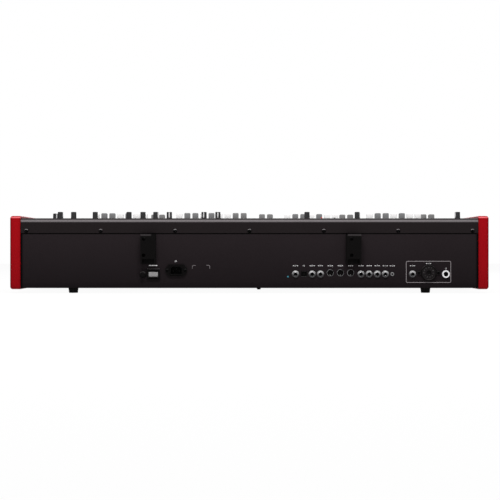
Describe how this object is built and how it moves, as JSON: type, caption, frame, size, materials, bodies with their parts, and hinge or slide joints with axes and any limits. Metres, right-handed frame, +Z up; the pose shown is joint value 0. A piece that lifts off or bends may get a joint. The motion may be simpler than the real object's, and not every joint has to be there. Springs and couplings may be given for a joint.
{
  "type": "electronic organ",
  "caption": "Stage organ with stepped manuals, sliding drawbars and knobs on a sloped panel, painted end cheeks and a rear row of sockets.",
  "frame": {"origin": "on the floor under the middle of the overall box", "axes": "+X toward the player's right, +Y toward the rear panel, +Z up"},
  "size_m": [1.053, 0.431, 0.1798],
  "materials": {
    "case_black": "fine satin black paint",
    "slip_black": "satin black lacquer on wood",
    "cheek_red": "red lacquer on wood",
    "natural_white": "gloss",
    "sharp_black": "satin",
    "block_black": "matte",
    "cap_brown": "satin",
    "cap_mixed": "satin",
    "knob_grey": "fine matte",
    "button_rubber": "matte",
    "board": "solder mask",
    "socket_black": "matte with plated nuts",
    "inner_metal": "mill",
    "bracket_black": "satin black paint",
    "foot_rubber": "matte"
  },
  "bodies": {
    "case": {"base_chassis": "case_black", "top_cover": "case_black", "left_cheek": "cheek_red", "right_cheek": "cheek_red", "left_key_block": "block_black", "right_key_block": "block_black", "lower_key_slip": "slip_black", "upper_key_slip": "slip_black", "lower_key_bed": "inner_metal", "upper_key_bed": "inner_metal", "lower_contact_board": "board", "upper_contact_board": "board", "drawbar_board": "board", "phones_board": "socket_black", "pedal_midi_board": "socket_black", "output_board": "socket_black", "speaker_board": "socket_black", "rotary_speaker_socket": "socket_black", "mains_inlet": "socket_black", "fuse_holder": "socket_black", "power_switch_housing": "socket_black", "right_stand_bracket": "bracket_black", "left_stand_bracket": "bracket_black", "rear_left_foot": "foot_rubber", "rear_right_foot": "foot_rubber", "front_left_foot": "foot_rubber", "front_right_foot": "foot_rubber", "main_board": "board", "power_supply": "inner_metal"},
    "lower_ceg_keys": {"lower_ceg_keys": "natural_white"},
    "lower_dfa_keys": {"lower_dfa_keys": "natural_white"},
    "lower_sharp_keys": {"lower_sharp_keys": "sharp_black"},
    "upper_ceg_keys": {"upper_ceg_keys": "natural_white"},
    "upper_dfa_keys": {"upper_dfa_keys": "natural_white"},
    "upper_sharp_keys": {"upper_sharp_keys": "sharp_black"},
    "upper_a_brown_drawbars": {"upper_a_brown_drawbars": "cap_brown"},
    "upper_a_other_drawbars": {"upper_a_other_drawbars": "cap_mixed"},
    "upper_b_brown_drawbars": {"upper_b_brown_drawbars": "cap_brown"},
    "upper_b_other_drawbars": {"upper_b_other_drawbars": "cap_mixed"},
    "bass_brown_drawbars": {"bass_brown_drawbars": "cap_brown"},
    "lower_a_brown_drawbars": {"lower_a_brown_drawbars": "cap_brown"},
    "lower_a_other_drawbars": {"lower_a_other_drawbars": "cap_mixed"},
    "lower_b_brown_drawbars": {"lower_b_brown_drawbars": "cap_brown"},
    "lower_b_other_drawbars": {"lower_b_other_drawbars": "cap_mixed"},
    "knob_01": {"knob_01": "knob_grey"},
    "knob_02": {"knob_02": "knob_grey"},
    "knob_03": {"knob_03": "knob_grey"},
    "knob_04": {"knob_04": "knob_grey"},
    "knob_05": {"knob_05": "knob_grey"},
    "knob_06": {"knob_06": "knob_grey"},
    "knob_07": {"knob_07": "knob_grey"},
    "knob_08": {"knob_08": "knob_grey"},
    "knob_09": {"knob_09": "knob_grey"},
    "knob_10": {"knob_10": "knob_grey"},
    "knob_11": {"knob_11": "knob_grey"},
    "knob_12": {"knob_12": "knob_grey"},
    "knob_13": {"knob_13": "knob_grey"},
    "function_buttons": {"function_buttons": "button_rubber"},
    "centre_buttons": {"centre_buttons": "button_rubber"},
    "power_switch_rocker": {"power_switch_rocker": "socket_black"}
  },
  "joints": [
    {"name": "lower_ceg_keys_press", "type": "hinge", "parent": "case", "child": "lower_ceg_keys", "pos_m": [0, -0.0165, 0.072], "axis": [1, 0, 0], "range_deg": [0, 3.1], "stiffness_Nm_per_rad": 10, "springref_deg": -8.02},
    {"name": "lower_dfa_keys_press", "type": "hinge", "parent": "case", "child": "lower_dfa_keys", "pos_m": [0, -0.0165, 0.072], "axis": [1, 0, 0], "range_deg": [0, 3.1], "stiffness_Nm_per_rad": 10, "springref_deg": -8.02},
    {"name": "lower_sharp_keys_press", "type": "hinge", "parent": "case", "child": "lower_sharp_keys", "pos_m": [0, -0.0165, 0.072], "axis": [1, 0, 0], "range_deg": [0, 3.1], "stiffness_Nm_per_rad": 10, "springref_deg": -8.02},
    {"name": "upper_ceg_keys_press", "type": "hinge", "parent": "case", "child": "upper_ceg_keys", "pos_m": [0, 0.0885, 0.133], "axis": [1, 0, 0], "range_deg": [0, 3.1], "stiffness_Nm_per_rad": 10, "springref_deg": -8.02},
    {"name": "upper_dfa_keys_press", "type": "hinge", "parent": "case", "child": "upper_dfa_keys", "pos_m": [0, 0.0885, 0.133], "axis": [1, 0, 0], "range_deg": [0, 3.1], "stiffness_Nm_per_rad": 10, "springref_deg": -8.02},
    {"name": "upper_sharp_keys_press", "type": "hinge", "parent": "case", "child": "upper_sharp_keys", "pos_m": [0, 0.0885, 0.133], "axis": [1, 0, 0], "range_deg": [0, 3.1], "stiffness_Nm_per_rad": 10, "springref_deg": -8.02},
    {"name": "upper_a_brown_drawbars_slide", "type": "slide", "parent": "case", "child": "upper_a_brown_drawbars", "axis": [0, -0.9994, -0.0349], "range_m": [-0.04713, 0.01087]},
    {"name": "upper_a_other_drawbars_slide", "type": "slide", "parent": "case", "child": "upper_a_other_drawbars", "axis": [0, -0.9994, -0.0349], "range_m": [-0.00363, 0.05437]},
    {"name": "upper_b_brown_drawbars_slide", "type": "slide", "parent": "case", "child": "upper_b_brown_drawbars", "axis": [0, -0.9994, -0.0349], "range_m": [-0.058, 0]},
    {"name": "upper_b_other_drawbars_slide", "type": "slide", "parent": "case", "child": "upper_b_other_drawbars", "axis": [0, -0.9994, -0.0349], "range_m": [-0.03625, 0.02175]},
    {"name": "bass_brown_drawbars_slide", "type": "slide", "parent": "case", "child": "bass_brown_drawbars", "axis": [0, -0.9994, -0.0349], "range_m": [-0.0435, 0.0145]},
    {"name": "lower_a_brown_drawbars_slide", "type": "slide", "parent": "case", "child": "lower_a_brown_drawbars", "axis": [0, -0.9994, -0.0349], "range_m": [0, 0.058]},
    {"name": "lower_a_other_drawbars_slide", "type": "slide", "parent": "case", "child": "lower_a_other_drawbars", "axis": [0, -0.9994, -0.0349], "range_m": [0, 0.058]},
    {"name": "lower_b_brown_drawbars_slide", "type": "slide", "parent": "case", "child": "lower_b_brown_drawbars", "axis": [0, -0.9994, -0.0349], "range_m": [-0.058, 0]},
    {"name": "lower_b_other_drawbars_slide", "type": "slide", "parent": "case", "child": "lower_b_other_drawbars", "axis": [0, -0.9994, -0.0349], "range_m": [-0.00725, 0.05075]},
    {"name": "knob_01_turn", "type": "hinge", "parent": "case", "child": "knob_01", "pos_m": [-0.4623, 0.17152, 0.16435], "axis": [0, -0.0349, 0.9994], "range_deg": [-150, 150]},
    {"name": "knob_02_turn", "type": "hinge", "parent": "case", "child": "knob_02", "pos_m": [-0.2398, 0.17152, 0.16435], "axis": [0, -0.0349, 0.9994], "range_deg": [-150, 150]},
    {"name": "knob_03_turn", "type": "hinge", "parent": "case", "child": "knob_03", "pos_m": [-0.128, 0.17152, 0.16435], "axis": [0, -0.0349, 0.9994], "range_deg": [-150, 150]},
    {"name": "knob_04_turn", "type": "hinge", "parent": "case", "child": "knob_04", "pos_m": [0.07, 0.17152, 0.16435], "axis": [0, -0.0349, 0.9994], "range_deg": [-150, 150]},
    {"name": "knob_05_turn", "type": "hinge", "parent": "case", "child": "knob_05", "pos_m": [0.1009, 0.17152, 0.16435], "axis": [0, -0.0349, 0.9994], "range_deg": [-150, 150]},
    {"name": "knob_06_turn", "type": "hinge", "parent": "case", "child": "knob_06", "pos_m": [0.178, 0.17152, 0.16435], "axis": [0, -0.0349, 0.9994], "range_deg": [-150, 150]},
    {"name": "knob_07_turn", "type": "hinge", "parent": "case", "child": "knob_07", "pos_m": [0.208, 0.17152, 0.16435], "axis": [0, -0.0349, 0.9994], "range_deg": [-150, 150]},
    {"name": "knob_08_turn", "type": "hinge", "parent": "case", "child": "knob_08", "pos_m": [0.2365, 0.17152, 0.16435], "axis": [0, -0.0349, 0.9994], "range_deg": [-150, 150]},
    {"name": "knob_09_turn", "type": "hinge", "parent": "case", "child": "knob_09", "pos_m": [0.2676, 0.17152, 0.16435], "axis": [0, -0.0349, 0.9994], "range_deg": [-150, 150]},
    {"name": "knob_10_turn", "type": "hinge", "parent": "case", "child": "knob_10", "pos_m": [0.3425, 0.17152, 0.16435], "axis": [0, -0.0349, 0.9994], "range_deg": [-150, 150]},
    {"name": "knob_11_turn", "type": "hinge", "parent": "case", "child": "knob_11", "pos_m": [0.3905, 0.17152, 0.16435], "axis": [0, -0.0349, 0.9994], "range_deg": [-150, 150]},
    {"name": "knob_12_turn", "type": "hinge", "parent": "case", "child": "knob_12", "pos_m": [0.42, 0.17152, 0.16435], "axis": [0, -0.0349, 0.9994], "range_deg": [-150, 150]},
    {"name": "knob_13_turn", "type": "hinge", "parent": "case", "child": "knob_13", "pos_m": [0.439, 0.11555, 0.1624], "axis": [0, -0.0349, 0.9994], "range_deg": [-150, 150]},
    {"name": "function_buttons_press", "type": "slide", "parent": "case", "child": "function_buttons", "axis": [0, 0.0349, -0.9994], "range_m": [0, 0.001], "stiffness_N_per_m": 400, "springref_m": -0.0008},
    {"name": "centre_buttons_press", "type": "slide", "parent": "case", "child": "centre_buttons", "axis": [0, 0.0349, -0.9994], "range_m": [0, 0.001], "stiffness_N_per_m": 400, "springref_m": -0.0008},
    {"name": "power_switch_rock", "type": "hinge", "parent": "case", "child": "power_switch_rocker", "pos_m": [0.2113, 0.1975, 0.0416], "axis": [1, 0, 0], "range_deg": [-12, 0]}
  ]
}
